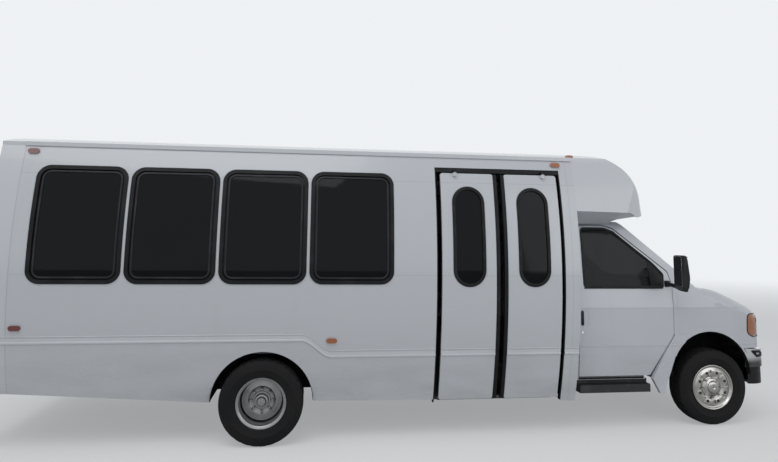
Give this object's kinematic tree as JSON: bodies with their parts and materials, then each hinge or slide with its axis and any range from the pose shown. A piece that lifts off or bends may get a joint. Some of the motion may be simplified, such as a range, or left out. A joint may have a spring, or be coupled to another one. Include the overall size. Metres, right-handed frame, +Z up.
{
  "type": "minibus",
  "caption": "White cutaway shuttle minibus with a barrel-sided passenger body, double swing entrance, van cab, steering front wheels and twin rear wheels.",
  "frame": {"origin": "on the road at the middle of the overall length and width", "axes": "+X forward, +Y to the driver's left, +Z up"},
  "size_m": [7.65, 2.666, 2.8],
  "materials": {
    "body_paint": "gloss white",
    "fibreglass": "gloss white",
    "cab_paint": "gloss white",
    "dark_glass": "tinted",
    "clear_glass": "clear",
    "rubber": "matt black",
    "black_plastic": "textured black",
    "grey_plastic": "textured grey",
    "chrome": "polished",
    "frame_black": "satin black",
    "steel_rim": "satin grey",
    "bright_cover": "polished steel",
    "tyre": "matt black",
    "cast": "rough",
    "floor_deck": "ribbed dark grey",
    "seat_fabric": "woven blue",
    "amber_lens": "amber",
    "red_lens": "red",
    "lamp_lens": "clear lens",
    "tank_steel": "satin",
    "pipe_steel": "dull"
  },
  "bodies": {
    "bus": {"side_wall_right": "body_paint", "side_wall_left": "body_paint", "roof": "fibreglass", "rear_cap": "fibreglass", "entrance_frame": "black_plastic", "stepwell": "floor_deck", "floor": "floor_deck", "floor_sills": "frame_black", "front_bulkhead": "fibreglass", "front_cap": "fibreglass", "cab_shell": "cab_paint", "windshield": "clear_glass", "fenders": "cab_paint", "cowl_panel": "black_plastic", "grille_panel": "chrome", "headlamps": "lamp_lens", "corner_lamps": "amber_lens", "window_frames": "black_plastic", "side_glass": "dark_glass", "front_axle": "cast", "rear_axle": "cast", "frame_rails": "frame_black", "front_bumper": "chrome", "bumper_valance": "black_plastic", "rear_bumper": "black_plastic", "running_boards": "black_plastic", "marker_lamps": "amber_lens", "tail_lamps": "red_lens", "seats": "seat_fabric", "dashboard": "grey_plastic", "steering_wheel": "black_plastic", "engine_cover": "grey_plastic", "engine_block": "cast", "fuel_tank": "tank_steel", "driveshaft": "cast", "exhaust": "pipe_steel"},
    "entrance_rear_leaf": {"entrance_leaf_rear": "body_paint", "entrance_glass_rear": "dark_glass"},
    "entrance_front_leaf": {"entrance_leaf_front": "body_paint", "entrance_glass_front": "dark_glass"},
    "cab_door_right_body": {"cab_door_right": "cab_paint", "cab_glass_right": "dark_glass", "mirror_right": "black_plastic"},
    "cab_door_left_body": {"cab_door_left": "cab_paint", "cab_glass_left": "dark_glass", "mirror_left": "black_plastic"},
    "hood_body": {"hood": "cab_paint"},
    "rear_door_body": {"rear_door": "body_paint", "rear_door_glass": "dark_glass"},
    "steering_right": {"knuckle_right": "cast"},
    "steering_left": {"knuckle_left": "cast"},
    "front_wheel_right": {"wheel_front_right": "bright_cover", "tyre_front_right": "tyre"},
    "front_wheel_left": {"wheel_front_left": "bright_cover", "tyre_front_left": "tyre"},
    "rear_wheels_right": {"wheel_rear_right": "steel_rim", "tyres_rear_right": "tyre"},
    "rear_wheels_left": {"wheel_rear_left": "steel_rim", "tyres_rear_left": "tyre"}
  },
  "joints": [
    {"name": "entrance_rear_swing", "type": "hinge", "parent": "bus", "child": "entrance_rear_leaf", "pos_m": [0.366, -1.12, 1.4], "axis": [0, 0, -1], "range_deg": [0, 85]},
    {"name": "entrance_front_swing", "type": "hinge", "parent": "bus", "child": "entrance_front_leaf", "pos_m": [1.249, -1.12, 1.4], "axis": [0, 0, 1], "range_deg": [0, 85]},
    {"name": "cab_door_right_swing", "type": "hinge", "parent": "bus", "child": "cab_door_right_body", "pos_m": [2.655, -1.01, 1], "axis": [0, 0, 1], "range_deg": [0, 65]},
    {"name": "cab_door_left_swing", "type": "hinge", "parent": "bus", "child": "cab_door_left_body", "pos_m": [2.655, 1.01, 1], "axis": [0, 0, -1], "range_deg": [0, 65]},
    {"name": "hood_lift", "type": "hinge", "parent": "bus", "child": "hood_body", "pos_m": [3.095, 0, 1.375], "axis": [0, -1, 0], "range_deg": [0, 50]},
    {"name": "rear_door_swing", "type": "hinge", "parent": "bus", "child": "rear_door_body", "pos_m": [-3.728, -0.412, 1.6], "axis": [0, 0, 1], "range_deg": [0, 105]},
    {"name": "steer_right", "type": "hinge", "parent": "bus", "child": "steering_right", "pos_m": [3.075, -0.74, 0.372], "axis": [0, 0, 1], "range_deg": [-32, 32]},
    {"name": "steer_left", "type": "hinge", "parent": "bus", "child": "steering_left", "pos_m": [3.075, 0.74, 0.372], "axis": [0, 0, 1], "range_deg": [-32, 32]},
    {"name": "front_right_roll", "type": "hinge", "parent": "steering_right", "child": "front_wheel_right", "pos_m": [3.075, -0.877, 0.372], "axis": [0, 1, 0], "continuous": true},
    {"name": "front_left_roll", "type": "hinge", "parent": "steering_left", "child": "front_wheel_left", "pos_m": [3.075, 0.877, 0.372], "axis": [0, 1, 0], "continuous": true},
    {"name": "rear_right_roll", "type": "hinge", "parent": "bus", "child": "rear_wheels_right", "pos_m": [-1.395, -0.945, 0.372], "axis": [0, 1, 0], "continuous": true},
    {"name": "rear_left_roll", "type": "hinge", "parent": "bus", "child": "rear_wheels_left", "pos_m": [-1.395, 0.945, 0.372], "axis": [0, 1, 0], "continuous": true}
  ],
  "couplings": [
    {"joint": "steer_left", "follows": "steer_right", "ratio": 1},
    {"joint": "entrance_front_swing", "follows": "entrance_rear_swing", "ratio": 1}
  ]
}
